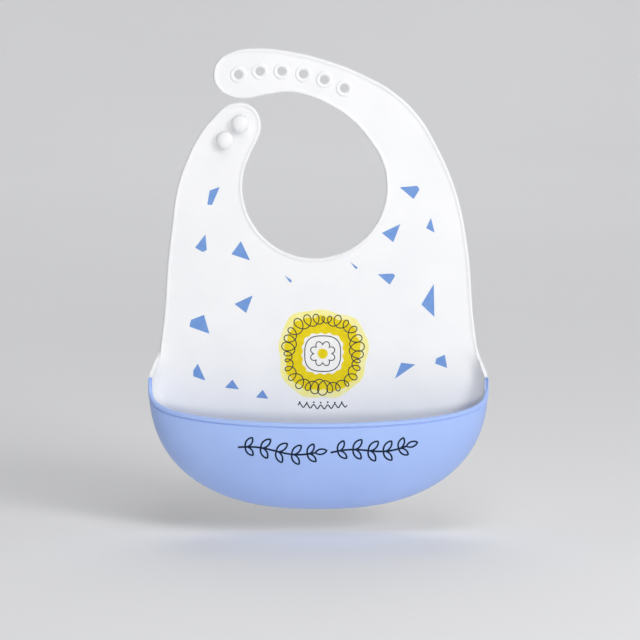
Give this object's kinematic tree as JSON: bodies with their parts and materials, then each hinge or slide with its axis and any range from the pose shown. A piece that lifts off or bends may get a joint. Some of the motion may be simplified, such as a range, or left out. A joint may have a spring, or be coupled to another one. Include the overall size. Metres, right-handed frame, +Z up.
{
  "type": "silicone bib",
  "caption": "Soft silicone bib with a round neck opening, a scooped catch pocket along its lower edge, and neck straps that close with domed buttons in a row of holes.",
  "frame": {"origin": "on the flat back of the chest panel, on the middle line, 15 mm under the neck opening and 153 mm above the lowest point", "axes": "+Z up along the bib's height, -Y towards the front and the pocket, +X to the right as seen from the front"},
  "size_m": [0.2278, 0.046, 0.309],
  "materials": {
    "white_silicone": "soft matte",
    "blue_silicone": "soft matte",
    "button_silicone": "satin",
    "chip_ink": "matte print",
    "gold_ink": "matte print",
    "halo_ink": "matte print",
    "navy_ink": "matte print"
  },
  "bodies": {
    "chest": {"chest_panel": "white_silicone"},
    "pocket_body": {"lower_panel": "white_silicone", "food_pocket": "blue_silicone"},
    "button_strap": {"button_strap": "white_silicone", "upper_button": "button_silicone", "lower_button": "button_silicone"},
    "hole_strap": {"hole_strap": "white_silicone"},
    "hole_strap_end": {"hole_strap_end": "white_silicone"}
  },
  "joints": [
    {"name": "panel_fold", "type": "hinge", "parent": "chest", "child": "pocket_body", "pos_m": [0, -0.0011, -0.015], "axis": [-1, 0, 0], "range_deg": [-60, 90], "stiffness_Nm_per_rad": 0.3},
    {"name": "button_strap_bend", "type": "hinge", "parent": "chest", "child": "button_strap", "pos_m": [0, -0.0011, 0.059], "axis": [-1, 0, 0], "range_deg": [-45, 80], "stiffness_Nm_per_rad": 0.03},
    {"name": "hole_strap_bend", "type": "hinge", "parent": "chest", "child": "hole_strap", "pos_m": [0, -0.0011, 0.059], "axis": [-1, 0, 0], "range_deg": [-45, 80], "stiffness_Nm_per_rad": 0.08},
    {"name": "hole_strap_end_bend", "type": "hinge", "parent": "hole_strap", "child": "hole_strap_end", "pos_m": [-0.0027, -0.0011, 0.0635], "axis": [-0.5, 0, -0.866], "range_deg": [-50, 70], "stiffness_Nm_per_rad": 0.03}
  ]
}
